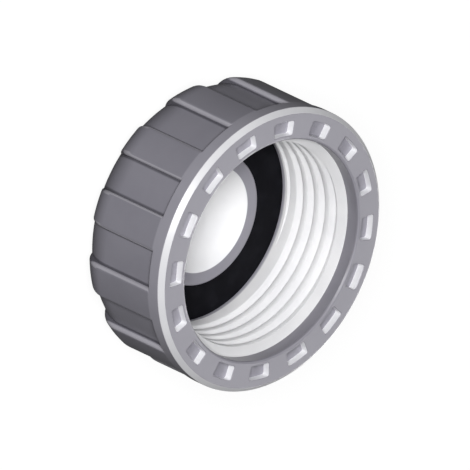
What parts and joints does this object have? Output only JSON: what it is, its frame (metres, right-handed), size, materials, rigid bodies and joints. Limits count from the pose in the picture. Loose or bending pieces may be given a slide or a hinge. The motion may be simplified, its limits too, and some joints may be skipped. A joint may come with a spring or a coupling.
{
  "type": "manifold end plug",
  "caption": "Round moulded screw cap that closes a threaded manifold end: grips round the outside, pockets in the rim, pipe thread inside and a flat black gasket on its floor.",
  "frame": {"origin": "centre of the closed end's outer face, on the thread's axis", "axes": "+Z along the thread's axis and out of the open mouth; +X through the middle of one grip hollow and one rim pocket"},
  "size_m": [0.043, 0.043, 0.02],
  "materials": {
    "moulded_plastic": "satin",
    "gasket_rubber": "matte"
  },
  "bodies": {
    "root": {"cap_body": "moulded_plastic", "sealing_gasket": "gasket_rubber"}
  },
  "joints": []
}
